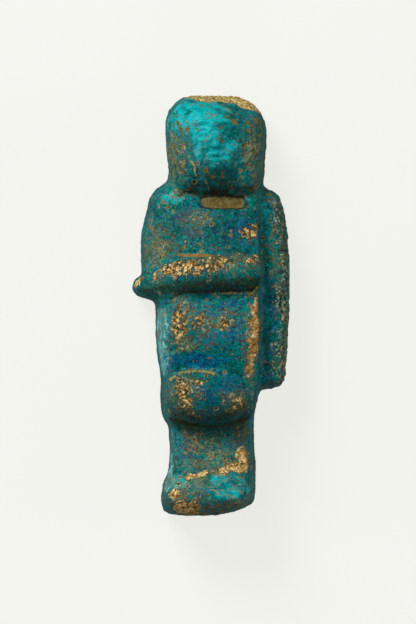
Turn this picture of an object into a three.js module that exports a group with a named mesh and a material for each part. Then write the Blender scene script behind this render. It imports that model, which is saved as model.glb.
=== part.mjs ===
// Overseer ushabti: a small faience funerary figure, pressed in an open mould and lying on its flat back.
// It is one solid. The figure wears a plain wig and a kilt with a projecting apron, one forearm lies
// across the waist, and the other arm hangs at its side.
//
// Millimetres. +Y runs to the crown, +Z out of the figure's front, and +X to the side of the hanging arm.
// The origin is at the middle of the length and width, on the plane of the back.
//
// The form is a field: below zero inside the figure, above zero outside. Each part of the figure is a
// pressed shape, with an outline seen from the front and a height above the back. Soft joins
// round them into each other, and a mesh is laid over the field's zero surface at the end.

import * as THREE from "three";

// Lengths along the figure, stacked from the sole up to the crown
const footHeight = 10;
const shinLength = 9.3;
const kiltLength = 27;
const forearmThickness = 7.2;
const chestLength = 14.6;
const headLength = 20.2;
const apronLength = 10.6;
const hangingArmLength = 42.2;

// Widths, at the widest level of the sides
const headWidth = 21.4;
const faceWidth = 13;
const trunkWidth = 22;
const hemWidth = 20.4;
const shinWidth = 18.1;
const footWidth = 20.2;
const hangingArmWidth = 6.2;
const upperArmWidth = 10;
const elbowReach = 5.2; // how far the elbow stands out past the trunk
const elbowWidth = 8.2;

// Depths, from the plane of the back
const headDepth = 19;
const neckDepth = 15;
const collarDepth = 16.8;
const chestDepth = 19.4;
const forearmDepth = 22.6;
const elbowDepth = 18.6;
const waistDepth = 19;
const kiltDepth = 21;
const apronDepth = 23.8;
const shinDepth = 16.6;
const toeDepth = 21.8;
const hangingArmDepth = 13;
const upperArmDepth = 16.6;

// Shifts to the side, which leave the figure a little uneven
const headShift = 1.6;
const shinShift = 0.6;
const collarShift = 2;

// Carving and wear
const collarGroove = 1.5;
const lappetGroove = 0.8;
const chinUndercut = 1.8;
const noseRise = 1.5;
const eyeHollow = 0.7;
const lipRise = 0.5;
const crownWear = 0.6;
const soleSlant = 1.5; // how much higher the sole ends on the side of the hanging arm
const backHollow = 0.8; // at the neck and behind the shins, clear of what it lies on

// Rounding, draft and joins
const mouldDraft = 0.1; // the sides lean in by this share of their height
const stepDraft = 0.03; // the trunk's crisp side, above the hanging arm
const widestLevel = 3.4; // the height at which the sides are widest
const backRound = 3.6;
const shoulderRound = 6;
const headRound = 4.8;
const kiltRound = 2.2;
const hemRound = 3.4;
const armRound = 2.4;
const legRound = 2.8;
const toeRound = 5;
const stepRound = 1.4;
const join = 1.6;

// Mesh fineness
const fineStep = 0.92; // on the face
const plainStep = 1.42; // on the rest of the front
const sideStep = 3.2; // up the sides, near the back

// Levels along the figure
const length =
  footHeight + shinLength + kiltLength + forearmThickness + chestLength + headLength;
const sole = -length / 2;
const instep = sole + footHeight;
const hem = instep + shinLength;
const waist = hem + kiltLength;
const forearmTop = waist + forearmThickness;
const shoulder = forearmTop + chestLength;
const crown = shoulder + headLength;

// Places across the figure: the elbow and the hanging arm are its two outer edges
const width = elbowReach + trunkWidth + hangingArmWidth;
const elbowTip = -width / 2;
const trunkLeft = elbowTip + elbowReach;
const trunkRight = trunkLeft + trunkWidth;
const trunkMiddle = (trunkLeft + trunkRight) / 2;
const headMiddle = trunkMiddle + headShift;

const { clamp, lerp, smoothstep } = THREE.MathUtils;

const softMax = (a, b, r) =>
  Math.max(a, b) + Math.max(r - Math.abs(a - b), 0) ** 2 / (4 * r);
const softMin = (a, b, r) => -softMax(-a, -b, r);
const bell = (t) => Math.exp(-t * t);
const hump = (t) => (Math.abs(t) < 1 ? (1 + Math.cos(Math.PI * t)) / 2 : 0);

// A smooth function through [place, value] pairs, level beyond its two ends.
function through(pairs) {
  const curve = new THREE.CubicInterpolant(
    pairs.map((p) => p[0]),
    pairs.map((p) => p[1]),
    1,
    [0],
  );
  return (at) => curve.evaluate(at)[0];
}

// Distance to a bar with round ends between the points { x, y, z, r } a and b. With no z it is flat.
function bar(x, y, z, a, b) {
  const [dx, dy, dz] = [b.x - a.x, b.y - a.y, (b.z ?? 0) - (a.z ?? 0)];
  const [px, py, pz] = [x - a.x, y - a.y, z - (a.z ?? 0)];
  const t = clamp((px * dx + py * dy + pz * dz) / (dx * dx + dy * dy + dz * dz), 0, 1);
  return Math.hypot(px - t * dx, py - t * dy, pz - t * dz) - lerp(a.r, b.r, t);
}

// Distance to a limb: a chain of such bars.
const limb = (x, y, z, points) =>
  Math.min(...points.slice(1).map((end, n) => bar(x, y, z, points[n], end)));

// Distance in the plane to a box with round corners.
function roundedBox(x, y, box, round) {
  const qx = Math.abs(x - box.x) - box.halfX + round;
  const qy = Math.abs(y - box.y) - box.halfY + round;
  const outside = Math.hypot(Math.max(qx, 0), Math.max(qy, 0));
  return outside + Math.min(Math.max(qx, qy), 0) - round;
}

// A pressed shape: an outline's distance, leaning in with height, under a top surface.
const pressed = (outline, z, top, round, draft = mouldDraft) =>
  softMax(outline + draft * (z - widestLevel), z - top, round);

// Trunk: chest and kilt in one, with a crisp right edge beside the hanging arm

const trunkDome = 0.8;
const kiltValley = 1.4; // how much lower the kilt's front is just above the apron
const hemSag = 1.4; // how much lower the hem is in the middle
const hemTuck = 1; // how much the kilt is drawn in at the hem, on the side of the hanging arm
const hemLeft = trunkMiddle - hemWidth / 2;
const hemRight = trunkMiddle + hemWidth / 2;
const kiltAt = (share) => lerp(hem, waist, share);
const chestAt = (share) => lerp(forearmTop, shoulder, share);

const trunkLeftEdge = through([
  [hem, hemLeft],
  [kiltAt(0.3), lerp(hemLeft, trunkLeft, -0.2)],
  [kiltAt(0.6), trunkLeft],
  [shoulder, trunkLeft],
]);
const trunkRightEdge = through([
  [hem, hemRight - hemTuck],
  [kiltAt(0.25), lerp(hemRight, trunkRight, 0.5)],
  [kiltAt(0.45), trunkRight],
  [shoulder, trunkRight],
]);
const trunkFront = through([
  [kiltAt(0.2), kiltDepth - kiltValley],
  [kiltAt(0.42), kiltDepth - kiltValley],
  [kiltAt(0.72), kiltDepth],
  [waist, waistDepth],
  [forearmTop, chestDepth],
  [chestAt(0.76), collarDepth],
  [shoulder, neckDepth],
]);

function trunk(x, y, z) {
  const across = (x - trunkMiddle) / (trunkWidth / 2);
  const top = trunkFront(y) - trunkDome * across ** 2;
  const hemLine = hem - hemSag * (1 - across ** 2);
  let d = pressed(trunkLeftEdge(y) - x, z, top, kiltRound);
  d = softMax(d, pressed(x - trunkRightEdge(y), z, top, stepRound, stepDraft), join);
  d = softMax(d, hemLine - y, hemRound);
  return softMax(d, y - shoulder - join, shoulderRound);
}

// Apron: below a shallow valley the kilt's front rises over a ridge, and swells out to its lower edge

const apronCorner = 7;
const apronDroop = 1.7; // how much lower its top edge ends on the side of the hanging arm
const apronArch = 2.6; // how much lower its swell lies at both sides than in the middle
const apronRidge = 1.6; // how much lower its front is at the ridge than at its fullest
const apronAt = (share) => lerp(hem, hem + apronLength, share);
const apronFront = through([
  [apronAt(-0.15), apronDepth - apronRidge],
  [apronAt(0.15), apronDepth - apronRidge / 2],
  [apronAt(0.5), apronDepth],
  [apronAt(0.85), apronDepth - apronRidge],
  [apronAt(1.08), kiltDepth - kiltValley - join],
]);
const apronBox = {
  x: trunkMiddle,
  y: apronAt(0.5),
  halfX: hemWidth / 2,
  halfY: apronLength / 2 + hemSag,
};

function apron(x, y, z) {
  const across = (x - apronBox.x) / apronBox.halfX;
  const up = smoothstep(y, hem, hem + apronLength);
  const sag = hemSag * across ** 2 * (up - 1);
  const droop = apronDroop * Math.max(across, 0) * up;
  const outline = roundedBox(x, y + sag + droop, apronBox, apronCorner);
  const top = apronFront(y + apronArch * across ** 2) - trunkDome * across ** 2;
  return pressed(outline, z, top, hemRound);
}

// Shins and feet: the long skirt narrows to the ankles, and the toes stand out at the front

const legsDome = 1;
const toeFall = 3; // how much lower the front is at the sole than over the toes
const slantStart = -0.25; // where the sole begins to slant, as a share of its half width
const footAt = (share) => lerp(sole, instep, share);
const shinMiddle = trunkMiddle + shinShift;
const legEdge = (side, foot) =>
  lerp(shinMiddle + (side * shinWidth) / 2, trunkMiddle + (side * footWidth) / 2, foot);

const legsLeftEdge = through([
  [sole, legEdge(-1, 0.8)],
  [footAt(0.42), legEdge(-1, 1)],
  [footAt(0.8), legEdge(-1, 0.3)],
  [instep, legEdge(-1, 0)],
  [hem, legEdge(-1, 0)],
]);
const legsRightEdge = through([
  [sole, legEdge(1, 0.7)],
  [footAt(0.55), legEdge(1, 0.95)],
  [footAt(0.95), legEdge(1, 1)],
  [lerp(instep, hem, 0.4), legEdge(1, 0.5)],
  [hem, legEdge(1, 0)],
]);
const legsFront = through([
  [sole, toeDepth - toeFall],
  [footAt(0.25), toeDepth - 0.2 * toeFall],
  [footAt(0.45), toeDepth],
  [footAt(0.75), lerp(shinDepth, toeDepth, 0.74)],
  [instep, lerp(shinDepth, toeDepth, 0.36)],
  [lerp(instep, hem, 0.4), lerp(shinDepth, toeDepth, 0.1)],
  [hem, shinDepth],
]);

function legs(x, y, z) {
  const across = (x - trunkMiddle) / (footWidth / 2);
  const top = legsFront(y) - legsDome * across ** 2;
  const slantedSole = sole + soleSlant * Math.max(across - slantStart, 0) ** 2;
  let d = pressed(legsLeftEdge(y) - x, z, top, legRound);
  d = softMax(d, pressed(x - legsRightEdge(y), z, top, legRound), join);
  d = softMax(d, slantedSole - y, lerp(join, toeRound, smoothstep(z, 0, toeDepth)));
  return Math.max(d, y - kiltAt(0.3));
}

// Arms: one hangs down at the side, the other bends at the elbow and lies across the waist

const armRise = 0.5; // how far its top stands above the shoulder line
const armBend = 0.13; // where it is widest, as a share of its half length up from its middle
const bowAbove = 3.2; // how much its outer edge leans in towards its top
const bowBelow = 0.9; // and towards its end
const hangingArm = {
  x: trunkMiddle + (trunkWidth / 2 + hangingArmWidth) / 2,
  y: shoulder + armRise - hangingArmLength / 2,
  halfX: (trunkWidth / 2 + hangingArmWidth) / 2,
  halfY: hangingArmLength / 2,
};
const armTopRound = 2.6;
const armEndRound = 2.8;
const armSlope = 1.2; // half the fall of its front from its lower end to the shoulder

function armAtSide(x, y, z) {
  const along = (y - hangingArm.y) / hangingArm.halfY;
  const bow = (along > armBend ? bowAbove : bowBelow) * (along - armBend) ** 2;
  const outline = roundedBox(x + bow, y, hangingArm, along > 0 ? armTopRound : armEndRound);
  return pressed(outline, z, hangingArmDepth - armSlope * along, armRound);
}

const upperArmRadius = upperArmWidth / 2;
const upperArmPoints = [
  {
    x: trunkLeft + 0.56 * upperArmRadius,
    y: shoulder - 0.68 * upperArmRadius,
    r: 0.88 * upperArmRadius,
  },
  { x: trunkLeft + 0.34 * upperArmRadius, y: chestAt(0.34), r: upperArmRadius },
  { x: trunkLeft + 0.22 * upperArmRadius, y: chestAt(-0.06), r: 0.88 * upperArmRadius },
];
const elbowRadius = elbowWidth / 2;
const elbowMiddle = trunkLeft + 0.12 * elbowRadius;
const elbowPoints = [
  { x: elbowTip + 0.57 * elbowRadius, y: waist + 0.4 * elbowRadius, r: 0.57 * elbowRadius },
  { x: elbowMiddle, y: waist + 0.5 * elbowRadius, r: 0.95 * elbowRadius },
];
const forearmRadius = forearmThickness / 2;
const forearmAt = (share) => lerp(waist, forearmTop, share);
const trunkAt = (share) => lerp(trunkLeft, trunkRight, share);
const forearmPoints = [
  { x: elbowMiddle, y: forearmAt(0.34), z: elbowDepth - elbowRadius, r: 0.95 * elbowRadius },
  { x: trunkAt(0.43), y: forearmAt(0.57), z: forearmDepth - forearmRadius, r: forearmRadius },
  {
    x: trunkAt(0.88),
    y: forearmAt(0.6),
    z: forearmDepth - 1.2 * forearmRadius,
    r: 0.9 * forearmRadius,
  },
];

const upperArm = (x, y, z) =>
  pressed(limb(x, y, 0, upperArmPoints), z, upperArmDepth, shoulderRound);

const forearm = (x, y, z) =>
  softMin(
    pressed(limb(x, y, 0, elbowPoints), z, elbowDepth, shoulderRound),
    limb(x, y, z, forearmPoints),
    join,
  );

// Head: a plain wig, whose lappets run down beside a small, worn face

const chin = lerp(shoulder, crown, 0.2);
const brow = lerp(chin, crown, 0.6);
const eyes = lerp(chin, crown, 0.5);
const noseBase = lerp(chin, crown, 0.3);
const mouth = lerp(chin, crown, 0.17);
const eyeWidth = faceWidth / 5;
const eyeHeight = 1.7; // the heights and widths here are those of soft swells and hollows
const browHeight = 1.4;
const lipHeight = 1.2;
const chinHeight = 1.5;
const noseWidth = 1.8;
const bridgeWidth = 1.2;
const faceRise = 0.5; // how far the face stands out from the wig
const faceEdge = 2.6; // the width over which it rises
const lappetGrooveWidth = 1.5;
const neckInLeft = 0.9; // how far the wig is drawn in at the shoulders, on each side
const neckInRight = 0.6;
const headDome = 2.8;
const crownDome = 1.8;
const crownRoundLeft = 6;
const crownRoundRight = 7.6;
const lappetEnd = 1.6; // how far below the shoulder line the lappets reach
const wornPlane = { x: 0.3, y: 0.86, z: 0.4 }; // the direction that the crown's worn top faces
const headBox = {
  x: headMiddle,
  y: (shoulder - lappetEnd + crown) / 2,
  halfX: headWidth / 2,
  halfY: (headLength + lappetEnd) / 2,
};

// Height that the plain face adds to the head's dome at (x, y).
function faceRelief(x, y) {
  const side = Math.abs(x - headMiddle);
  const up = clamp((y - noseBase) / (brow - noseBase), 0, 1);
  const tip = smoothstep(y, noseBase - noseWidth, noseBase + noseWidth / 2);
  const root = 1 - smoothstep(y, eyes, brow + browHeight);
  const across = bell(side / lerp(noseWidth, bridgeWidth, up));
  const nose = lerp(noseRise, noseRise / 3, up) * across * tip * root;
  const onEye = bell((side - eyeWidth) / (eyeWidth * 0.75)) * bell((y - eyes) / eyeHeight);
  const browRidge = bell((y - brow) / browHeight) * bell(side / (eyeWidth * 2));
  const lips = bell(side / eyeWidth) * bell((y - mouth) / lipHeight);
  const chinBall = bell(side / eyeWidth) * bell((y - chin - chinHeight / 2) / chinHeight);
  return nose + lipRise * (lips + chinBall) + eyeHollow * (browRidge / 2 - onEye);
}

function head(x, y, z) {
  const across = (x - headMiddle) / (headWidth / 2);
  const up = (y - eyes) / (headLength / 2);
  const underChin = smoothstep(-y, -chin - lappetEnd, -shoulder);
  const narrowing = smoothstep(-y, -eyes, -shoulder);
  const faceHalf = (faceWidth / 2) * (1 - 0.4 * narrowing);
  const toEdge = Math.abs(x - headMiddle) - faceHalf;
  const inFace = 1 - smoothstep(toEdge, -faceEdge, faceEdge / 2);
  const onLappet = smoothstep(-y, -brow - 1, -eyes + 2) * bell(toEdge / lappetGrooveWidth);
  let top = headDepth - headDome * across ** 2 - crownDome * Math.max(up, 0) ** 2;
  top += inFace * (faceRise + faceRelief(x, y) - chinUndercut * underChin);
  top -= lappetGroove * onLappet;
  const inward = narrowing * (across > 0 ? neckInRight : -neckInLeft);
  const crownRound = across > 0 ? crownRoundRight : crownRoundLeft;
  const outline = roundedBox(x + inward, y, headBox, y > eyes ? crownRound : lappetEnd * 2);
  const worn =
    wornPlane.x * (x - headMiddle) +
    wornPlane.y * (y - crown + crownWear) +
    wornPlane.z * (z - 0.55 * headDepth);
  return softMax(pressed(outline, z, top, headRound), worn, join);
}

// The whole figure: its parts joined, the neckline pressed in, and the back cut off level

const collarHeight = 1.2;
const collarMiddle = { x: headMiddle + collarShift, y: shoulder - lappetEnd - collarHeight / 2 };
const collarHalf = faceWidth / 3;
const collarReach = 5; // how far down the sides of the neck the groove runs out
const neckHollowHalf = 2.6;

function figure(x, y, z) {
  let body = softMin(trunk(x, y, z), apron(x, y, z), join / 2);
  body = softMin(body, legs(x, y, z), join / 2);
  body = softMin(body, upperArm(x, y, z), join * 2);
  body = softMin(body, armAtSide(x, y, z), join / 2);
  body = softMin(body, forearm(x, y, z), join / 2);
  const neckline =
    bell((x - collarMiddle.x) / collarHalf) * bell((y - collarMiddle.y) / collarHeight);
  body += collarGroove * neckline * smoothstep(z, neckDepth - collarReach, neckDepth);
  body = softMin(body, head(x, y, z), join);
  const atNeck = hump((y - shoulder) / neckHollowHalf);
  const atShins = hump((y - (instep + hem) / 2) / (0.6 * shinLength));
  return softMax(body, backHollow * (atNeck + atShins) - z, backRound);
}

// Lines of a grid from low to high, with the spacing that stepAt gives at each place.
function gridLines(low, high, stepAt) {
  const lines = [low];
  while (lines.at(-1) < high) lines.push(lines.at(-1) + stepAt(lines.at(-1)));
  return lines;
}

// The zero surface of a field on a grid of lines: one vertex in each cell that the surface crosses,
// moved onto the surface, and one four-sided face round each grid edge that it crosses.
function surfaceOf(field, lines) {
  const [nx, ny, nz] = lines.map((l) => l.length);
  const at = (i, j, k) => (k * ny + j) * nx + i;
  const values = new Float64Array(nx * ny * nz);
  for (let k = 0; k < nz; k++)
    for (let j = 0; j < ny; j++)
      for (let i = 0; i < nx; i++)
        values[at(i, j, k)] = field(lines[0][i], lines[1][j], lines[2][k]);
  const axes = [[1, 0, 0], [0, 1, 0], [0, 0, 1]];
  closePinches(values, at, [nx, ny, nz], axes);

  const positions = [];
  const vertexOf = new Int32Array(nx * ny * nz).fill(-1);
  for (let k = 0; k < nz - 1; k++)
    for (let j = 0; j < ny - 1; j++)
      for (let i = 0; i < nx - 1; i++) {
        const place = crossingIn(field, lines, values, at, [i, j, k]);
        if (!place) continue;
        vertexOf[at(i, j, k)] = positions.length / 3;
        positions.push(place.x, place.y, place.z);
      }

  const faces = [];
  for (let k = 1; k < nz - 1; k++)
    for (let j = 1; j < ny - 1; j++)
      for (let i = 1; i < nx - 1; i++)
        for (let axis = 0; axis < 3; axis++) {
          const [dx, dy, dz] = axes[axis];
          const inside = values[at(i, j, k)] < 0;
          if (inside === values[at(i + dx, j + dy, k + dz)] < 0) continue;
          const [ux, uy, uz] = axes[(axis + 1) % 3];
          const [vx, vy, vz] = axes[(axis + 2) % 3];
          const ring = [
            at(i, j, k),
            at(i - ux, j - uy, k - uz),
            at(i - ux - vx, j - uy - vy, k - uz - vz),
            at(i - vx, j - vy, k - vz),
          ].map((cell) => vertexOf[cell]);
          faces.push(inside ? ring : ring.reverse());
        }
  return { positions, faces };
}

// Where the four corners of a grid face alternate between inside and outside, the mesh would touch
// itself, so the face's outer corner that is nearest the surface is taken inside.
function closePinches(values, at, [nx, ny, nz], axes) {
  const justInside = -1e-4;
  let found = true;
  while (found) {
    found = false;
    for (let k = 0; k < nz - 1; k++)
      for (let j = 0; j < ny - 1; j++)
        for (let i = 0; i < nx - 1; i++)
          for (let axis = 0; axis < 3; axis++) {
            const [ux, uy, uz] = axes[axis];
            const [vx, vy, vz] = axes[(axis + 1) % 3];
            const ring = [
              at(i, j, k),
              at(i + ux, j + uy, k + uz),
              at(i + ux + vx, j + uy + vy, k + uz + vz),
              at(i + vx, j + vy, k + vz),
            ];
            const inside = ring.map((n) => values[n] < 0);
            if (inside[0] === inside[1] || inside[0] !== inside[2] || inside[1] !== inside[3]) continue;
            const outer = ring.filter((n) => values[n] >= 0);
            values[values[outer[0]] < values[outer[1]] ? outer[0] : outer[1]] = justInside;
            found = true;
          }
  }
}

// The mean of the field's crossings on one cell's edges, moved onto the zero surface, or null.
function crossingIn(field, lines, values, at, cell) {
  const corners = [];
  for (let n = 0; n < 8; n++) {
    const c = [cell[0] + (n & 1), cell[1] + ((n >> 1) & 1), cell[2] + ((n >> 2) & 1)];
    corners.push({ p: new THREE.Vector3(...c.map((v, a) => lines[a][v])), f: values[at(...c)] });
  }
  const sum = new THREE.Vector3();
  let count = 0;
  for (let n = 0; n < 8; n++)
    for (const bit of [1, 2, 4]) {
      if (n & bit) continue;
      const a = corners[n];
      const b = corners[n | bit];
      if (a.f < 0 === b.f < 0) continue;
      sum.add(new THREE.Vector3().lerpVectors(a.p, b.p, a.f / (a.f - b.f)));
      count++;
    }
  if (!count) return null;
  return ontoSurface(field, sum.divideScalar(count), corners[0].p, corners[7].p);
}

// Steps a point along the field's slope to the zero surface, staying well inside its cell.
function ontoSurface(field, p, cellLow, cellHigh) {
  const h = 0.02; // half the span over which the slope is measured
  const margin = 0.04; // what stays free at each side of the cell, as a share of it
  const low = new THREE.Vector3().lerpVectors(cellLow, cellHigh, margin);
  const high = new THREE.Vector3().lerpVectors(cellLow, cellHigh, 1 - margin);
  for (let step = 0; step < 4; step++) {
    const f = field(p.x, p.y, p.z);
    const slope = new THREE.Vector3(
      field(p.x + h, p.y, p.z) - field(p.x - h, p.y, p.z),
      field(p.x, p.y + h, p.z) - field(p.x, p.y - h, p.z),
      field(p.x, p.y, p.z + h) - field(p.x, p.y, p.z - h),
    ).divideScalar(2 * h);
    p.addScaledVector(slope, -f / Math.max(slope.lengthSq(), 0.2)).clamp(low, high);
  }
  return p;
}

// Two triangles for each four-sided face, split along its shorter diagonal. The faces that lie in
// the plane of the back become one flat polygon instead.
function triangles({ positions, faces }) {
  const point = (v) => new THREE.Vector3().fromArray(positions, 3 * v);
  const onBack = (v) => Math.abs(positions[3 * v + 2]) < 1e-3;
  const index = [];
  const rim = new Map(); // the flat polygon's directed edges, by their two ends
  for (const [a, b, c, d] of faces) {
    if ([a, b, c, d].every(onBack)) {
      for (const [from, to] of [[a, b], [b, c], [c, d], [d, a]])
        if (!rim.delete(to + "," + from)) rim.set(from + "," + to, [from, to]);
    } else if (point(a).distanceTo(point(c)) < point(b).distanceTo(point(d)))
      index.push(a, b, c, a, c, d);
    else index.push(a, b, d, b, c, d);
  }
  return index.concat(flatPolygons(new Map(rim.values()), positions));
}

// Triangles of the level polygons that directed edges, given as start to end, go round. A loop
// that turns the other way to the largest is a hole in it.
function flatPolygons(next, positions) {
  const loops = [];
  while (next.size) {
    const loop = [next.keys().next().value];
    while (next.has(loop.at(-1))) {
      const end = next.get(loop.at(-1));
      next.delete(loop.at(-1));
      if (end !== loop[0]) loop.push(end);
    }
    const points = loop.map((v) => new THREE.Vector2(positions[3 * v], positions[3 * v + 1]));
    loops.push({ loop, points, area: THREE.ShapeUtils.area(points) });
  }
  loops.sort((a, b) => Math.abs(b.area) - Math.abs(a.area));
  const turn = Math.sign(loops[0].area);
  const holes = loops.filter((l) => Math.sign(l.area) !== turn);
  const index = [];
  for (const outer of loops.filter((l) => Math.sign(l.area) === turn)) {
    const inner = outer === loops[0] ? holes : [];
    const vertices = [outer, ...inner].flatMap((l) => l.loop);
    const points = [outer, ...inner].flatMap((l) => l.points);
    for (const face of THREE.ShapeUtils.triangulateShape(outer.points, inner.map((l) => l.points))) {
      const same = Math.sign(THREE.ShapeUtils.area(face.map((n) => points[n]))) === turn;
      index.push(...(same ? face : face.reverse()).map((n) => vertices[n]));
    }
  }
  return index;
}

function figureGeometry() {
  const inHead = (y) => (y > chin && y < brow + browHeight ? fineStep : plainStep);
  const inFace = (x) => (Math.abs(x - headMiddle) < faceWidth / 2 ? fineStep : plainStep);
  const upSide = (z) => (z > 0 && z < hangingArmDepth * 0.7 ? sideStep : plainStep);
  const mesh = surfaceOf(figure, [
    gridLines(elbowTip - 2 * plainStep, -elbowTip + 2 * plainStep, inFace),
    gridLines(sole - 2 * plainStep, crown + 2 * plainStep, inHead),
    gridLines(-1.5 * plainStep, apronDepth + 2 * plainStep, upSide),
  ]);
  const geometry = new THREE.BufferGeometry();
  geometry.setAttribute("position", new THREE.Float32BufferAttribute(mesh.positions, 3));
  geometry.setIndex(triangles(mesh));
  geometry.computeBoundingBox();
  const middle = geometry.boundingBox.getCenter(new THREE.Vector3());
  geometry.translate(-middle.x, -middle.y, -geometry.boundingBox.min.z);
  geometry.computeVertexNormals();
  return geometry;
}

const faience = new THREE.MeshStandardMaterial({ color: 0x15808c, roughness: 0.42, metalness: 0 });

const ushabti = new THREE.Group();
const figurine = new THREE.Mesh(figureGeometry(), faience);
figurine.name = "ushabti_figurine";
ushabti.add(figurine);

export default ushabti;
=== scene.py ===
"""An overseer ushabti of blue-green faience, lying on its flat back and seen from straight above.

Metres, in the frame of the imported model: +Y runs to the figure's crown, +Z out of its front, and +X
to the side of its hanging arm. The figure is one piece, pressed in an open mould, fired, and worn.
"""
import math

import bpy
import numpy as np
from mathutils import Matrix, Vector, noise


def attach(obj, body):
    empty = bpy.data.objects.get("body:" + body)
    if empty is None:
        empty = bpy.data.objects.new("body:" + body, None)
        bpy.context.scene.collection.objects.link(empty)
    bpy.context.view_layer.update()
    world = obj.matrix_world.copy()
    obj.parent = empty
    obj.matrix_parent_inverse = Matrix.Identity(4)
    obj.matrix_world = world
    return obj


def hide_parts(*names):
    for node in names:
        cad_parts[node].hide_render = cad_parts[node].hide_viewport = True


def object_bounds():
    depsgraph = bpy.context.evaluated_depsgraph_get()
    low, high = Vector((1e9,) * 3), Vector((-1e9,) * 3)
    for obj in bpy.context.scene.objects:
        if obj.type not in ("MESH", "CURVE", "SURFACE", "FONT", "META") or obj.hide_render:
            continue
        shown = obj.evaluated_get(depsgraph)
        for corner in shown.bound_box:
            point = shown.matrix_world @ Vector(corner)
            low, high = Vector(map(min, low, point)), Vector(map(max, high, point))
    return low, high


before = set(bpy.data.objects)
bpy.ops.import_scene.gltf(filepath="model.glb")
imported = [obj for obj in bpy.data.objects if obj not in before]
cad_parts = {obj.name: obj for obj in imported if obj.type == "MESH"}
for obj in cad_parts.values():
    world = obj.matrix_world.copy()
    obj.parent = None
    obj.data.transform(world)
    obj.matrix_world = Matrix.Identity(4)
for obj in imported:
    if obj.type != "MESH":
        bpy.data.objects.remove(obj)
solid_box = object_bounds()
MM = 0.001

# Camera: it looks straight down on the figure, as the photograph does. The photograph is 416 by 624
# pixels, and its middle falls a little to the left of and below the middle of the figure.

photo_height = 624
pixel = 0.2115 * MM
camera_height = 1.2
view_middle = (-0.6 * MM, -1.5 * MM)
sensor = 36  # mm

bpy.ops.object.camera_add(location=(*view_middle, camera_height), rotation=(0, 0, 0))
camera = bpy.context.object
camera.data.sensor_width = sensor
camera.data.lens = sensor * camera_height / (photo_height * pixel)
camera.data.clip_end = 10
bpy.context.scene.camera = camera
bpy.context.scene.view_settings.view_transform = "Standard"

# Table: a plain pale sheet that the figure lies on, large enough to fill every view of it. It glows
# evenly, as a lit table does, so that the figure's shadow on it is only a faint one.

table_size = 4
table_drop = 0.02 * MM  # keeps the sheet clear of the figure's flat back
table_grey = (0.1, 0.1, 0.1, 1)
table_glow = (0.775, 0.782, 0.735, 1)

bpy.ops.mesh.primitive_plane_add(size=table_size, location=(0, 0, -table_drop))
table = bpy.context.object
table.name = "table"
paper = bpy.data.materials.new("pale_paper")
paper.use_nodes = True
paper_shader = paper.node_tree.nodes["Principled BSDF"]
paper_shader.inputs["Base Color"].default_value = table_grey
paper_shader.inputs["Emission Color"].default_value = table_glow
paper_shader.inputs["Emission Strength"].default_value = 1
paper_shader.inputs["Roughness"].default_value = 0.9
paper_shader.inputs["Specular IOR Level"].default_value = 0
table.data.materials.append(paper)
table.visible_diffuse = False  # its glow shows, but doesn't light the figure from below
table.visible_glossy = False

# Lights: a soft box beyond the figure's head and a little to the left, weak ones low on each side and
# below its feet, and a dim room.

room_light = 0.17
soft_boxes = {
    "key": {"at": (-0.42, 0.7, 0.78), "size": 0.45, "watts": 15.4},
    "right": {"at": (0.95, 0.1, 0.3), "size": 0.5, "watts": 4.6},
    "left": {"at": (-0.95, 0, 0.25), "size": 0.5, "watts": 4.6},
    "low": {"at": (0.1, -1.1, 0.45), "size": 0.5, "watts": 2.4},
}

world = bpy.data.worlds.new("room")
bpy.context.scene.world = world
world.use_nodes = True
room = world.node_tree.nodes["Background"]
room.inputs["Color"].default_value = (0.98, 0.99, 1, 1)
room.inputs["Strength"].default_value = room_light
for name, box in soft_boxes.items():
    bpy.ops.object.light_add(type="AREA", location=box["at"])
    light = bpy.context.object
    light.name = name
    light.data.size = box["size"]
    light.data.energy = box["watts"]
    light.rotation_euler = (-Vector(box["at"])).to_track_quat("-Z", "Y").to_euler()

# Figurine, form: pressed from quartz paste in an open mould, so its sides lean in and its back is flat.
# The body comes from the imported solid. It is smoothed, given the face's finer modelling, and then
# the lumps, pits, chips and cracks that firing, burial and wear have left in the glaze.

face_size = 0.315 * MM  # of the finished mesh
flat_back = 0.05  # mm, the height up to which the mesh is the flat back
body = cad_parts["ushabti_figurine"]

bpy.ops.object.select_all(action="DESELECT")
figurine = bpy.data.objects.new("figurine", body.data.copy())
bpy.context.collection.objects.link(figurine)
bpy.context.view_layer.objects.active = figurine
figurine.select_set(True)
bpy.ops.object.mode_set(mode="EDIT")  # the solid's triangles are joined, and paired into quads
bpy.ops.mesh.select_all(action="SELECT")
bpy.ops.mesh.remove_doubles(threshold=0.001 * MM)
bpy.ops.mesh.tris_convert_to_quads(face_threshold=math.radians(60), shape_threshold=math.radians(80))
bpy.ops.object.mode_set(mode="OBJECT")


def finish_with(kind, **settings):
    """Adds a modifier to the figurine and applies it."""
    modifier = figurine.modifiers.new(kind.lower(), kind)
    for key, value in settings.items():
        setattr(modifier, key, value)
    bpy.ops.object.modifier_apply(modifier=modifier.name)


finish_with("REMESH", mode="VOXEL", voxel_size=face_size)
finish_with("SMOOTH", factor=0.6, iterations=14)

mesh = figurine.data
count = len(mesh.vertices)
flat = np.empty(3 * count)
mesh.vertices.foreach_get("co", flat)
place = flat.reshape(-1, 3) / MM
mesh.vertex_normals.foreach_get("vector", flat)
normal = flat.reshape(-1, 3).copy()
x, y, z = place.T


def ramp(low, high, value):
    """0 below low and 1 above high, with a smooth rise between."""
    t = np.clip((value - low) / (high - low), 0, 1)
    return t * t * (3 - 2 * t)


def bell(value):
    """1 at 0, falling to nearly 0 at 2 to each side."""
    return np.exp(-value * value)


def lumps(size, octaves=2, seed=0):
    """Soft noise of about -1 to 1 with lumps of the given size in millimetres."""
    shift = Vector((13.1, 7.7, 3.3)) * seed
    return np.array([noise.fractal(Vector(p) / size + shift, 1, 2, octaves) for p in place])


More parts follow.
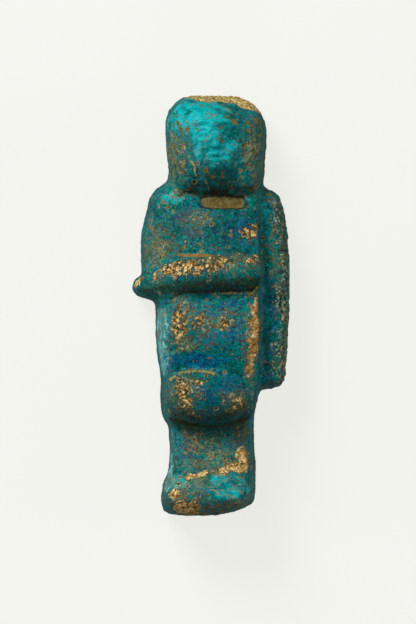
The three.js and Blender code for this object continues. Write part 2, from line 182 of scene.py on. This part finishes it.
def grains(size, seed=0):
    """Distance to the nearest of many scattered points, and to the next, for grains of a size in mm."""
    shift = Vector((5.3, 9.1, 2.2)) * seed
    pairs = [noise.voronoi(Vector(p) / size + shift)[0][:2] for p in place]
    return np.array(pairs).T


coarse = lumps(4.5, 3)
middling = lumps(1.6, 2, seed=1)
fine = lumps(0.75, 2, seed=2)
wander_x = lumps(2.2, 3, seed=3)
wander_y = lumps(2.2, 3, seed=4)
front = ramp(0.15, 0.55, normal[:, 2])  # 0 on the sides and the back
off_flank = 1 - ramp(0.5, 0.85, np.abs(normal[:, 0]))  # 0 on the left and right sides


def patch(at, half, turn=0, edge=0.35, ragged=0.5, square=2):
    """1 in an ellipse on the figure's front, 0 outside, with a soft and ragged edge. In mm and degrees.
    A square of 4 gives it blunt ends."""
    turn = math.radians(turn)
    dx = x - at[0] + ragged * wander_x
    dy = y - at[1] + ragged * wander_y
    along = (dx * math.cos(turn) + dy * math.sin(turn)) / half[0]
    across = (dy * math.cos(turn) - dx * math.sin(turn)) / half[1]
    out = (np.abs(along) ** square + np.abs(across) ** square) ** (1 / square)
    return 1 - ramp(1 - edge, 1 + edge, out)


def patches(*places, **settings):
    """The strongest of several patches, each given by its middle, its half sizes and its turn."""
    return np.max([patch(*p, **settings) for p in places], axis=0)


def line(points, width, ragged=0.12):
    """1 on a line through points in mm, falling to 0 at about its width to each side."""
    near = np.full(count, 1e9)
    px = x + ragged * wander_x
    py = y + ragged * wander_y
    for (ax, ay), (bx, by) in zip(points, points[1:]):
        dx, dy = bx - ax, by - ay
        t = np.clip(((px - ax) * dx + (py - ay) * dy) / (dx * dx + dy * dy), 0, 1)
        near = np.minimum(near, np.hypot(px - ax - t * dx, py - ay - t * dy))
    return bell(near / width)


# Figurine, finer forms: the face, with its parts at the heights that the solid has them, and the
# lines of the wig, the forearm and the dress, in mm. A form of the face stands as high as its first
# number times the relief, and a line is given by its points and the half of its width.

relief = 1.6
head_middle = 1.1
brow = 37.7
eyes = 36.1
nose_base = 32.9
mouth = 30.8
chin = 28
eye_side = 2.6  # from the head's middle to an eye's
eye_half = 1.5

side = np.abs(x - head_middle)
on_head = ramp(21, 23, y)
toward_eye = (side - eye_side) / eye_half
opening = np.clip(1 - toward_eye ** 2, 0, 1)
on_eye = 1 - ramp(0.9, 1.2, np.abs(toward_eye))
nose = 0.3 * bell(side / 0.8) * ramp(nose_base - 0.6, nose_base + 0.3, y) * (1 - ramp(eyes, brow + 1, y))
nose += 0.2 * bell((side - 1.2) / 0.55) * bell((y - nose_base - 0.3) / 0.6)
eyeball = 0.3 * bell(toward_eye / 0.7) * bell((y - eyes) / 0.6)
upper_lid = 0.26 * on_eye * bell((y - eyes - 0.8 * opening) / 0.26)
lower_lid = 0.16 * on_eye * bell((y - eyes + 0.65 * opening) / 0.26)
brow_line = brow + 0.5 * bell((side - eye_side) / 2)
brow_ridge = 0.26 * bell((y - brow_line) / 0.4) * bell((side - 2.7) / 2.1)
lips = 0.24 * bell(side / 1.5) * (bell((y - mouth - 0.5) / 0.35) + bell((y - mouth + 0.6) / 0.42))
lips -= 0.34 * bell(side / 1.9) * bell((y - mouth) / 0.22)
chin_ball = 0.26 * bell(side / 1.8) * bell((y - chin - 0.6) / 0.9)
face = nose + eyeball + upper_lid + lower_lid + brow_ridge + lips + chin_ball

face_area = patch((head_middle, 33.6), (4.6, 6.6), edge=0.6, ragged=0.5) * on_head

wig_left = [(-5.6, 33.5), (-4.4, 30.6), (-3.4, 28.6), (-2.9, 26.6)]
wig_right = [(7.8, 39), (8.1, 35.6), (8.5, 31.8), (7.4, 30), (6.2, 27.6), (5.4, 25.2)]
lappet_left = [(-6.3, 29.8), (-4.7, 27.3), (-2.8, 24.6)]
lappet_right = [(-1.1, 26.3), (-0.4, 23.9)]
under_lappet = [(-6.6, 22.9), (-5.6, 23.5), (-4.0, 23.4), (-1.8, 23.0), (0.2, 23.3), (3.4, 23.5)]
forearm_below = [
    (-8.5, 1.1), (-6.1, 2.3), (-4.2, 2.5), (-0.2, 2.7), (4.0, 3.0), (5.5, 2.7), (8.5, 3.0), (9.8, 3.9),
]
apron_above = [
    (-10.4, -18.4), (-9.4, -16.2), (-7.6, -14.9), (-6.1, -14.2), (-3.0, -13.7), (-1.5, -13.9), (1.0, -14.4),
]
hem_below = [
    (-9.2, -23.8), (-6.0, -24.6), (-2.8, -25.3), (-0.6, -25.5), (3.0, -25.2), (6.2, -24.2), (8.6, -23.4),
]
instep_crease = [(-8, -35.2), (-4.5, -34.9), (-1, -34.2), (3, -33.6), (8, -33.4)]
arm_crack = [(14.2, 11.3), (17.2, 11.5)]

wig_edges = [wig_left, wig_right, lappet_left, lappet_right]
wig_lines = np.max([line(points, 0.3, ragged=0.2) for points in wig_edges], axis=0)
wig_lines *= on_head * ramp(-0.6, 0.2, middling + fine)
beside_wig = np.max([line([(px + 0.6, py) for px, py in points], 0.4) for points in wig_edges], axis=0)
under_chin = 0.8 * line(under_lappet, 0.5)
under_arm = line(forearm_below, 0.26, ragged=0.2)
below_arm = line([(px, py - 0.5) for px, py in forearm_below[3:]], 0.22, ragged=0.2)
apron_ridge = line(apron_above, 0.4, ragged=0.2) * ramp(0, 0.5, off_flank + 0.3 * middling)
above_apron = line([(px, py + 1.1) for px, py in apron_above], 0.8)
under_hem = line(hem_below, 0.5) * off_flank
instep_line = line(instep_crease, 0.4) * off_flank
crack = line(arm_crack, 0.3) * ramp(7, 10, z)
slot = patch((2.5, 21.4), (4.3, 1.0), turn=-2, edge=0.2, ragged=0.12, square=4)
slot_rim = patch((2.5, 21.5), (4.9, 1.45), turn=-2, edge=0.25, ragged=0.15, square=4)

# Figurine, wear: where the glaze is gone and the sandy body shows, where grains of it stand proud,
# where a brown crust lies on the glaze, the tints that the glaze took in the kiln, and painted light and
# shade. Each is a mask of 0 to 1 over the mesh, with its places in mm.

crown_line = [
    (-5.6, 43.6), (-2.3, 42.5), (1.9, 42.5), (4.2, 42.3), (5.5, 41.7), (7.0, 41.0), (9.7, 40.4), (11.0, 40.0),
]
crown_edge = np.interp(x, *zip(*crown_line))
bare = ramp(-0.25, 0.3, y - crown_edge + 0.3 * wander_y + 0.25 * fine)
chips = patches(  # where the glaze has chipped off
    ((-8.0, 7.2), (2.6, 1.5), 8),
    ((-4.0, 7.7), (3.6, 1.6), 2),
    ((1.0, 8.5), (3.2, 1.8), 8),
    ((9.0, 9.4), (1.5, 0.6), 25),
    ((8.2, 15.2), (2.3, 1.3), 25),
    ((-11.6, 6.0), (0.5, 0.4)),
    ((-6.8, -4.1), (1.7, 3.8), -5),
    ((-2.4, -3.2), (1.2, 1.2)),
    ((2.4, -4.4), (1.4, 1.0)),
    ((9.1, -6.0), (1.3, 5.2), -2),
    ((9.2, -0.6), (0.5, 3.0), -4),
    ((8.4, -12.6), (0.9, 2.6), -6),
    ((-5.6, -19.0), (1.4, 3.6), 15),
    ((-2.6, -16.4), (1.2, 1.0)),
    ((-7.2, -16.6), (0.5, 1.0), -10),
    ((6.2, -20.6), (1.7, 1.0), -15),
    edge=0.7,
    ragged=0.8,
)
sand_patches = patches(  # fine bare sand on the instep, the toes and the elbow
    ((4.6, -34.1), (3.7, 0.9), 4),
    ((6.5, -31.6), (1.2, 1.9), 10),
    ((-2.8, -35.4), (2.4, 0.6), 12),
    ((-5.0, -42.4), (2.9, 1.5), -4),
    ((-7.8, -39.5), (1.3, 0.9), 15),
    ((-6.2, -40.7), (0.9, 0.5)),
    ((-15.7, 4.8), (1.0, 1.4), -20),
    edge=0.5,
    ragged=0.7,
)
nodules = patches(  # coarse grains of the body, standing proud
    ((-6.6, -3.6), (2.0, 4.0), -5),
    ((-2.0, -3.8), (1.4, 2.0)),
    ((3.2, -4.3), (1.8, 1.4)),
    ((-5.4, -19.4), (2.2, 4.2), 15),
    ((-2.6, -16.6), (2.0, 1.6)),
    ((6.2, -20.6), (2.0, 1.2), -15),
    ((0.4, 8.8), (4.0, 1.2), 6),
    ((8.1, 15.4), (2.2, 1.2), 30),
    edge=0.4,
    ragged=0.5,
)
brown_sand = patch((9.0, -6.0), (2.6, 9.0))  # the strip beside the hanging arm is browner
smudges = patches(  # grey stains
    ((-6.0, 18.4), (1.8, 1.4), 20),
    ((-3.8, 15.2), (1.8, 1.2)),
    ((5.8, -28.4), (1.4, 1.6)),
    ((-4.2, -29.0), (1.8, 3.0)),
    edge=0.8,
    ragged=0.8,
)
salt = patches(  # pale and dark grains close together
    ((14.4, 17.5), (1.6, 4.0)),
    ((15.4, 3.0), (1.7, 8.0)),
    ((14.8, -12.0), (1.9, 6.0)),
    ((-6.8, -3.6), (1.4, 3.0)),
    ((-2.0, -3.6), (1.7, 1.6)),
    ((3.4, -4.0), (1.9, 1.4)),
    ((-2.4, 8.4), (2.6, 0.9)),
    ((-5.8, -17.4), (1.8, 2.4)),
    ((6.4, -20.4), (1.2, 0.9)),
    edge=0.8,
    ragged=1.4,
)
painted_shade_patches = patches(  # darker: painted shade on the apron, under the forearm and below the chin, and a patch on the chest's right
    ((0.4, -20.4), (9.0, 4.6)),
    ((-1.0, 4.4), (10.0, 1.8)),
    ((1.5, 27.0), (6.0, 2.4)),
    ((5.5, 15.5), (4.5, 4.5)),
    edge=0.9,
    ragged=0.8,
)
# Painted highlights on the tops of the toes and on the left shoulder, where the light falls, and a lighter
# glaze on the face
toes_painted_highlight = 0.7 * patch((3.0, -38.0), (6.5, 2.4), -8, edge=0.9, ragged=1.2)
shoulder_painted_highlight = 0.62 * patch((-8.4, 22.4), (2.8, 2.6), 40, edge=0.8, ragged=1)
face_glaze_and_painted_highlights = np.max([toes_painted_highlight, shoulder_painted_highlight, 0.66 * face_area], axis=0)
sparse = patches(  # thin glaze, with the body showing in specks
    ((14.4, 17.5), (2.0, 4.4)),
    ((15.2, 3.0), (2.2, 8.5)),
    ((14.6, -12.0), (2.4, 6.5)),
    ((-9.0, 6.0), (3.6, 2.6)),
    ((-12.6, 10.5), (1.6, 5.5), 10),
    ((-14.0, 3.6), (2.4, 2.4)),
    ((-3.4, -4.2), (5.0, 5.0)),
    ((4.2, -3.4), (3.4, 2.6)),
    ((-4.4, -18.4), (4.4, 4.8), 15),
    ((5.4, -20.6), (3.0, 2.2)),
    ((-6.0, -39.4), (4.6, 3.0), -10),
    ((2.0, -42.2), (7.0, 1.4), 8),
    ((1.0, -34.6), (8.0, 1.6), 6),
    ((9.6, 32.6), (1.3, 6.6)),
    ((-8.4, 30.0), (1.6, 5.0)),
    edge=0.7,
    ragged=1.2,
)
strip = patch((-3.4, 10.3), (4.6, 0.36), turn=-1, edge=0.6, ragged=0.2)
crust = patches(  # brown crust on the glaze
    ((-7.2, 23.4), (3.4, 1.0), 10),
    ((-10.5, 13.0), (2.8, 4.4)),
    ((-3.0, 17.5), (2.6, 2.0)),
    ((3.5, 8.6), (7.0, 1.6)),
    ((-6.0, -3.5), (3.0, 4.6)),
    ((0.0, -4.0), (3.6, 2.4)),
    ((3.6, -3.0), (2.4, 2.6)),
    ((-3.5, -8.4), (4.0, 1.2)),
    ((8.2, -6.0), (1.8, 10.0)),
    ((-5.6, -18.5), (3.4, 4.6)),
    ((5.5, -20.0), (3.0, 2.6)),
    ((-4.0, -28.0), (2.0, 3.0)),
    ((6.2, -26.4), (1.6, 1.8)),
    ((3.0, -33.2), (6.0, 2.0)),
    ((-6.0, -38.8), (4.4, 3.0), -10),
    ((1.0, -42.6), (8.0, 1.3), 8),
    ((9.0, 32.0), (1.8, 6.2)),
    ((-7.4, 31.0), (2.6, 5.0)),
    edge=0.6,
    ragged=1.0,
)
painted_crown_toe_highlights = patches(  # painted highlights, turquoise, on the crown's left and on the left toes
    ((-3.0, 39.0), (7.0, 4.6), 20),
    ((-6.5, -36.8), (2.8, 1.6)),
    edge=0.8,
    ragged=1.0,
)
deep = patches(  # blue glaze
    ((-1.4, -11.2), (7.5, 1.5)),
    ((5.5, -17.0), (4.5, 2.4)),
    ((1.0, -19.4), (4.6, 2.6)),
    ((5.0, 16.8), (4.0, 2.6)),
    ((5.0, -0.5), (4.5, 2.0)),
    ((-0.4, 1.2), (2.4, 1.0)),
    ((1.0, -7.0), (5.0, 1.6), 20),
    ((2.0, -23.0), (7.0, 1.2)),
    ((12.6, -4.0), (1.6, 9.0)),
    ((3.5, -38.5), (7.0, 3.2), -8),
    edge=0.8,
    ragged=1.2,
)
strokes = patches(  # where the glaze has run and dried in strokes
    ((0.0, -32.6), (8.0, 2.4), 12),
    ((2.0, -38.6), (7.0, 3.4), -6),
    ((-1.0, -29.0), (6.0, 2.0), 20),
    ((-12.0, 10.0), (2.2, 6.0), 10),
    edge=0.7,
    ragged=1.0,
)
valley = patch((-2.6, -11.6), (7.4, 1.5), edge=0.5, ragged=0.4)  # the fold above the apron

arm_top = ramp(9.8, 11.2, z)  # 0 on the hanging arm's side
cell = grains(2.1)[0]  # from here on, distances between scattered points make pits and grains
small_cell, next_small_cell = grains(0.95, seed=1)
gap = 1 - ramp(0.08, 0.3, next_small_cell - small_cell)
pitted = ramp(-0.25, 0.45, lumps(6, 2, seed=6) + 0.5 * crust)
pit = (1 - ramp(0.12, 0.3, cell)) * ramp(0.15, 0.5, lumps(2.6, 1, seed=7)) * front * (1 - nodules)
small_pit = (1 - ramp(0.2, 0.4, small_cell)) * ramp(0.25, 0.5, lumps(1.9, 1, seed=8)) * pitted * front
slot_pit = patch((4.4, 22.3), (0.35, 0.3), ragged=0)
arm_pit = patch((15.9, -6.4), (0.5, 0.7), ragged=0.05) * arm_top
pit = np.max([pit, small_pit, slot_pit, arm_pit], axis=0)

chipped = chips * ramp(-1, -0.1, fine + 1.4 * (chips - 0.5))
knobbly = 0.7 * nodules * (1 - gap) * ramp(-0.1, 0.4, middling + 0.4 * fine)
sandy = sand_patches * ramp(5, 9, z + 1.5 * wander_x)
specked = 0.26 * sparse * ramp(-0.9, 0.7, middling)
rough_side = ramp(11.6, 13.6, x) * (1 - ramp(12.5, 15, z))  # the hanging arm's outer side
worn = np.max([bare, np.maximum(chipped, knobbly) * front, sandy, 0.12 * rough_side, specked], axis=0)
blob_size = 0.2 + 0.34 * lumps(4, 1, seed=9) - 0.2 * (1 - on_head)
freckles = ramp(-0.2, 0.2, blob_size - cell - 0.3 * fine - 0.2 * middling)
lost = ramp(0.35, 0.65, worn)

# How far each point moves out of the smooth form, in mm
rise = (0.1 * coarse + 0.12 * middling + 0.08 * fine) * (1 - 0.6 * face_area)
rise += 0.08 * crust * fine
rise -= 0.24 * pit
rise += lost * (0.14 * fine + 0.08 * (small_cell - 0.4) - 0.1)
rise += nodules * front * (0.3 * (0.5 - small_cell) - 0.16 * gap + 0.08)
rise += rough_side * (0.16 * fine + 0.1 * middling)
rise += relief * face * on_head * front
rise += (0.16 * wig_lines - 0.2 * beside_wig) * on_head
rise -= 0.45 * under_chin + 0.28 * under_arm + 0.3 * crack + 0.16 * instep_line
rise += 0.26 * apron_ridge * front - 0.2 * under_hem - 0.3 * above_apron * front
rise -= 0.3 * slot_rim * front

low, high = solid_box
sides = ramp(0.1, 1.2, z)
moved = place + normal * (rise * sides)[:, None]
for axis in range(2):
    moved[:, axis] = np.clip(moved[:, axis], low[axis] / MM, high[axis] / MM)
moved[:, 2] = np.where(z < flat_back, 0, np.clip(moved[:, 2], 0, high[2] / MM))
mesh.vertices.foreach_set("co", (moved * MM).ravel())
mesh.update()
bpy.ops.object.shade_smooth()

# Painted shade: a dark olive stain on the faces that look down, under the forearm, the apron's hem and the
# chin
facing_down = ramp(-0.05, 0.5, -normal[:, 1]) * front
overhangs = [bell((y - 4.6) / 3), bell((y + 24) / 2.4), 0.6 * bell((y - 24) / 2)]
painted_shade_under_overhangs = facing_down * np.max(overhangs, axis=0)
kilt_side = 1 - ramp(-11, -7.6, x + 0.9 * wander_x)
kilt_side *= ramp(-18, -12.5, y + 1.8 * wander_y) * (1 - ramp(-4, 3, y + 2 * wander_y))
leg_side = 1 - ramp(-8.8, -7.2, x + 0.5 * wander_x)
leg_side *= ramp(-41, -36, y + 1.6 * wander_y) * (1 - ramp(-29, -25, y + 1.6 * wander_y))
edge_side = 0.3 * ramp(0.4, 0.7, np.abs(normal[:, 0])) * (1 - ramp(11, 12.5, x)) * (1 - ramp(14, 16, z))
waist_side = 0.3 * patch((-12.8, 10.0), (1.3, 6.5), turn=10, edge=0.7, ragged=1)
pale_side = np.max([kilt_side, leg_side, edge_side, waist_side], axis=0) * ramp(2, 13, z + 1.8 * wander_x)
# Painted shade in the creases under the chin, the forearm and the hem, along the instep and in the crack
hollows = np.max([under_chin, under_arm, crack, 0.4 * instep_line, 0.8 * under_hem], axis=0)
masks = {
    "bare_body": worn,
    "brown_crust": np.max([0.75 * crust, 0.9 * apron_ridge, 0.3 * rough_side], axis=0),
    "pits": pit,
    "hollows": np.maximum(hollows, 1.4 * (slot_rim - slot)),
    "turquoise_and_painted_light": np.maximum(painted_crown_toe_highlights, face_glaze_and_painted_highlights),
    "deep_glaze": np.maximum(deep, 2 * valley),
    "smooth_brown": np.maximum(strip, slot),
    "orange_brown": 0.7 * strip,
    "pale_side": pale_side,
    "painted_shade_under_overhangs": painted_shade_under_overhangs,
    "tan_ridges": np.max([wig_lines, apron_ridge, below_arm], axis=0),
    "freckles": freckles,
    "granular": np.maximum(nodules, 0.88 * ramp(0.1, 0.4, chips) * (1 - 0.85 * brown_sand)),
    "brown_sand": brown_sand,
    "olive_sand": bare,
    "salt": salt,
    "painted_shade_patches": painted_shade_patches,
    "strokes": strokes,
    "smudges": smudges,
}
for name, values in masks.items():
    attribute = mesh.attributes.new(name, "FLOAT", "POINT")
    attribute.data.foreach_set("value", values.astype(np.float32))

# Figurine, finish: a copper-blue alkaline glaze, dulled by age, mottled from turquoise to deep blue,
# freckled with brown where the sandy body shows through, and bare on the worn edges, with painted shade
# in its hollows and under what overhangs, and painted highlights where the light falls.


class Socket:
    """A node's output, with arithmetic that adds Math nodes."""

    def __init__(self, tree, link):
        self.tree = tree
        self.link = link

    def math(self, operation, *others):
        return node(self.tree, "ShaderNodeMath", {"operation": operation}, [self, *others])[0]

    def __add__(self, other):
        return self.math("ADD", other)

    def __mul__(self, other):
        return self.math("MULTIPLY", other)

    def __sub__(self, other):
        return self.math("SUBTRACT", other)

    def __rsub__(self, other):
        return node(self.tree, "ShaderNodeMath", {"operation": "SUBTRACT"}, [other, self])[0]

    __radd__ = __add__
    __rmul__ = __mul__

    def larger(self, other):
        return self.math("MAXIMUM", other)

    def rise(self, low, high):
        """0 up to low and 1 from high on, smooth between. It falls where low is the larger of the two."""
        settings = {"interpolation_type": "SMOOTHSTEP"}
        return node(self.tree, "ShaderNodeMapRange", settings, [self, low, high, 0, 1])[0]


def node(tree, kind, settings=(), values=()):
    """Adds a node, with settings first and then its inputs in order or by name. Returns its outputs."""
    made = tree.nodes.new(kind)
    for key, value in dict(settings).items():
        setattr(made, key, value)
    inputs = values.items() if isinstance(values, dict) else enumerate(values)
    for key, value in inputs:
        if isinstance(value, Socket):
            tree.links.new(value.link, made.inputs[key])
        elif value is not None:
            made.inputs[key].default_value = value
    return [Socket(tree, output) for output in made.outputs]


def colour(red, green, blue):
    """A colour as it is seen, from 0 to 255, as a shader's linear value."""
    return (*[((c / 255 + 0.055) / 1.055) ** 2.4 for c in (red, green, blue)], 1)


def blend(factor, below, above):
    """Lays one colour over another as far as the factor says."""
    settings = {"data_type": "RGBA"}
    return node(factor.tree, "ShaderNodeMix", settings, {0: factor, 6: below, 7: above})[2]


def faience():
    """The glaze, what lies on it, the marks in it, and the bare body, laid one over another."""
    material = bpy.data.materials.new("faience")
    material.use_nodes = True
    tree = material.node_tree
    at = node(tree, "ShaderNodeTexCoord")[3]

    def mottle(size, detail=3, roughness=0.55, seed=0, stretch=(1, 1, 1)):
        """Noise of 0 to 1 with spots of a size in millimetres. A seed moves it to another part."""
        drawn = node(tree, "ShaderNodeVectorMath", {"operation": "MULTIPLY"}, [at, stretch])[0]
        moved = node(tree, "ShaderNodeVectorMath", {"operation": "ADD"}, [drawn, (seed, 0, 0)])[0]
        values = {"Vector": moved, "Scale": 1 / (size * MM), "Detail": detail, "Roughness": roughness}
        return node(tree, "ShaderNodeTexNoise", {}, values)[0]

    def outline(pattern, level, width):
        """1 on the thin closed lines where a pattern passes a level."""
        return 1 - (pattern - level).math("ABSOLUTE").rise(0, width)

    noise_values = {"Vector": at, "Scale": 1 / (1.1 * MM), "Detail": 2}
    wavering = node(tree, "ShaderNodeTexNoise", {}, noise_values)[1]
    bend = [wavering, (0.8 * MM,) * 3, at]
    bent = node(tree, "ShaderNodeVectorMath", {"operation": "MULTIPLY_ADD"}, bend)[0]

    def cells(size, vector=at):
        """Distance from the middle of the nearest grain, in grains, and a random value for each grain."""
        return node(tree, "ShaderNodeTexVoronoi", {}, {"Vector": vector, "Scale": 1 / (size * MM)})[:2]

    mask = {name: node(tree, "ShaderNodeAttribute", {"attribute_name": name})[2] for name in masks}
    broad = mottle(6, 2, 0.5)
    cloudy = mottle(2.6, 3, 0.6, seed=0.1)
    patchy = mottle(1.5, 3, 0.6, seed=0.2)
    speckle = mottle(0.8, 3, 0.7, seed=0.3)
    dust = mottle(0.42, 2, 0.6, seed=0.4)
    spotty = mottle(1.1, 2, 0.5, seed=0.5)
    streaks = mottle(0.9, 3, 0.6, seed=0.6, stretch=(1, 0.3, 0.12))
    layers = mottle(0.8, 3, 0.65, seed=0.7, stretch=(0.25, 1, 1))
    drifts = mottle(1.7, 2, 0.5, seed=0.8, stretch=(0.4, 1, 1))
    rough = 2.4 * (speckle - 0.5) + 1.6 * (dust - 0.5)

    # The glaze, green to blue, with lighter and darker spots, and turquoise painted highlights
    crusted = mask["brown_crust"]
    island = 0.5 * cloudy + 0.5 * patchy + 0.2 * crusted + 0.14 * rough - 0.03 * mask["deep_glaze"]
    encrusted = island.rise(0.59, 0.62)
    shore = outline(island, 0.6, 0.02)
    glaze = blend(broad.rise(0.38, 0.6), colour(0, 84, 74), colour(0, 104, 99))
    tinted = patchy + 0.13 * mask["deep_glaze"] - 0.16 * mask["turquoise_and_painted_light"] + 0.5 * (broad - 0.5)
    blue = (tinted + 0.14 * rough).rise(0.52, 0.68)
    glaze = blend(blue * 0.85, glaze, colour(0, 84, 122))
    # Turquoise mottling, raised into painted highlights on the crown, the left shoulder and the toes
    turquoise_mottle_and_painted_light = (mask["turquoise_and_painted_light"] * 0.38 + cloudy + 0.4 * (speckle - 0.5)).rise(0.6, 0.9)
    glaze = blend(turquoise_mottle_and_painted_light, glaze, colour(0, 158, 162))
    blot = (spotty + 0.06 * rough - 0.06 * mask["turquoise_and_painted_light"]).rise(0.57, 0.62)
    glaze = blend(blot * (1 - 0.6 * turquoise_mottle_and_painted_light) * 0.85, glaze, colour(0, 50, 84))
    dark = (speckle + 0.5 * (dust - 0.5) - 0.12 * turquoise_mottle_and_painted_light).rise(0.49, 0.61)
    glaze = blend(dark * (0.7 + 0.2 * encrusted), glaze, colour(0, 36, 44))
    light = (dust + 0.4 * (0.5 - speckle)).rise(0.55, 0.68)
    glaze = blend(light * (0.5 + 0.2 * encrusted), glaze, colour(0, 152, 160))

    # Brown crust in islands and curling lines with a painted shadow beside them, painted shade, stains, and
    # strokes where the glaze has run
    skin = blend(encrusted * 0.26, glaze, colour(84, 96, 66))
    skin = blend(shore * 0.6, skin, colour(132, 112, 62))
    curled = (crusted + 1.2 * (broad - 0.5)).rise(0.05, 0.4)
    winding = patchy + 0.06 * rough
    loops = outline(winding, 0.51, 0.022) * curled
    # A painted shadow line beside each curling line
    skin = blend(outline(winding, 0.535, 0.02) * curled * 0.6, skin, colour(0, 34, 40))
    skin = blend(loops * 0.8, skin, colour(146, 122, 66))
    # Painted shade: darker over the apron, the forearm's underside, below the chin and on the chest's right
    skin = blend(mask["painted_shade_patches"] * 0.42, skin, colour(0, 34, 34))
    smudged = mask["smudges"] * (0.6 + 0.4 * rough).rise(0.2, 0.7)
    skin = blend(smudged * 0.75, skin, colour(62, 70, 76))
    skin = blend(drifts.rise(0.5, 0.54) * mask["strokes"] * 0.3, skin, colour(76, 92, 60))
    drift_edge = outline(drifts + 0.03 * rough, 0.5, 0.03) * mask["strokes"]
    skin = blend(drift_edge * 0.65, skin, colour(134, 126, 74))

    # Freckles, small open holes, grains and grit
    spots = mask["freckles"] + 0.6 * rough
    freckle = spots.rise(0.46, 0.6)
    inside = spots.rise(0.66, 0.84)
    skin = blend(freckle * 0.8, skin, colour(116, 116, 66))
    olive = blend(dust.rise(0.44, 0.58), colour(62, 62, 30), colour(112, 96, 44))
    skin = blend(inside * 0.85, skin, olive)
    pocks = cells(1.5, bent)[0] + 0.12 * rough
    pocked = island.rise(0.56, 0.62)
    hole = pocks.rise(0.2, 0.12) * pocked
    skin = blend(pocks.rise(0.36, 0.3) * pocked * 0.6, skin, colour(140, 118, 66))
    skin = blend(hole * 0.9, skin, colour(30, 26, 14))
    small_grain, small_tint = cells(0.42, bent)
    dark_grain = small_tint.rise(0.36, 0.26)
    salty = (mask["salt"] + 1.6 * (patchy - 0.5)).rise(0.3, 0.8).larger(island.rise(0.64, 0.72) * 0.6)
    skin = blend(small_tint.rise(0.64, 0.74) * salty * 0.65, skin, colour(172, 164, 120))
    skin = blend(dark_grain * salty * 0.8, skin, colour(8, 32, 34))
    grit = cells(0.5)[0] + 0.25 * (dust - 0.5)
    grit_dots = grit.rise(0.3, 0.18) * (0.45 + 0.55 * encrusted)
    skin = blend(grit_dots * 0.85, skin, colour(8, 26, 24))
    curl = outline(dust, 0.5, 0.05) * island.rise(0.64, 0.7)
    skin = blend(curl * 0.6, skin, colour(156, 150, 102))

    # The pale left side, painted shade below what overhangs, ridges, pits, and painted shade in the hollows
    pale = blend((streaks + 0.4 * rough).rise(0.4, 0.6), colour(20, 120, 130), colour(124, 186, 180))
    pale = blend((0.45 - streaks + 0.2 * rough).rise(0, 0.03) * 0.8, pale, colour(112, 108, 66))
    skin = blend((mask["pale_side"] + 0.35 * rough - 0.1).rise(0.2, 0.6) * 0.85, skin, pale)
    # Painted shade under what overhangs
    painted_under_shade = mask["painted_shade_under_overhangs"] * (0.5 * cloudy + 0.5 * speckle + 0.15 * rough).rise(0.2, 0.56)
    skin = blend(painted_under_shade * 0.85, skin, colour(34, 44, 24))
    skin = blend((mask["tan_ridges"] + 1.2 * rough).rise(0.6, 1) * 0.75, skin, colour(150, 136, 74))
    ring = mask["pits"].rise(0.04, 0.3)
    skin = blend(ring * 0.7, skin, colour(126, 114, 66))
    skin = blend(mask["pits"].rise(0.35, 0.85), skin, colour(26, 24, 14))
    # Painted shade, dark brown, in the creases, the crack and round the slot's rim
    skin = blend((mask["hollows"] + 0.3 * rough).rise(0.3, 0.9) * 0.9, skin, colour(40, 32, 14))

    # The bare body: sand, in grains that stand apart where they are coarse
    big_grain, grain_tint = cells(0.8, bent)
    grain_tint = 0.6 * grain_tint + 0.4 * small_tint + 0.6 * (patchy - 0.5)
    sand = blend(grain_tint.rise(0.4, 0.62), colour(180, 136, 66), colour(228, 192, 116))
    sand = blend(grain_tint.rise(0.44, 0.34) * 0.7, sand, colour(158, 104, 44))
    sand = blend(small_grain.rise(0.2, 0.6) * 0.6, sand, colour(160, 132, 84))
    sand = blend(layers.rise(0.5, 0.6) * 0.55, sand, colour(134, 104, 54))
    sand = blend((speckle + 0.6 * (dust - 0.5)).rise(0.56, 0.62) * 0.8, sand, colour(84, 66, 34))
    sand = blend(mask["brown_sand"] * 0.8, sand, colour(142, 102, 50))
    sand = blend(mask["olive_sand"] * 0.3, sand, colour(140, 146, 84))
    sand = blend(small_tint.rise(0.66, 0.78) * 0.5, sand, colour(230, 208, 156))
    sand = blend(dark_grain * 0.65, sand, colour(84, 62, 32))
    apart = (big_grain + 0.3 * rough) * mask["granular"]
    around = apart.rise(0.44, 0.56)
    sand = blend(around * 0.85, sand, colour(60, 50, 24))
    shown = (1.15 * mask["bare_body"] + 1.05 * rough - 0.08).rise(0.45, 0.55)
    shown *= 1 - apart.rise(0.6, 0.7) * 0.8
    skin = blend(shown, skin, sand)

    # The smooth brown fill of the slot and of the strip above the forearm
    brown = blend((0.5 * patchy + 0.5 * dust).rise(0.36, 0.64), colour(74, 62, 30), colour(112, 100, 58))
    brown = blend(mask["orange_brown"], brown, colour(142, 102, 50))
    skin = blend((mask["smooth_brown"] + 0.35 * rough).rise(0.4, 0.6), skin, brown)

    height = (
        0.3 * speckle
        + 0.3 * dust
        + 0.3 * encrusted
        + 0.2 * shore
        + 0.3 * freckle
        - 0.5 * inside
        - 0.6 * hole
        + 0.3 * loops
        - 0.4 * grit_dots
        - 0.8 * shown * around
        - 0.4 * shown * small_grain
    )
    bump_values = {"Strength": 0.9, "Distance": 0.36 * MM, "Height": height}
    bump = node(tree, "ShaderNodeBump", {}, bump_values)[0]
    shader = tree.nodes["Principled BSDF"]
    matt = encrusted.larger(freckle)
    roughness = 0.34 + 0.26 * matt + 0.36 * shown
    tree.links.new(skin.link, shader.inputs["Base Color"])
    tree.links.new(roughness.link, shader.inputs["Roughness"])
    tree.links.new(bump.link, shader.inputs["Normal"])
    shader.inputs["IOR"].default_value = 1.5
    shader.inputs["Specular IOR Level"].default_value = 0.06
    return material


mesh.materials.clear()
mesh.materials.append(faience())
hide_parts("ushabti_figurine")
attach(figurine, "root")

bpy.context.view_layer.update()
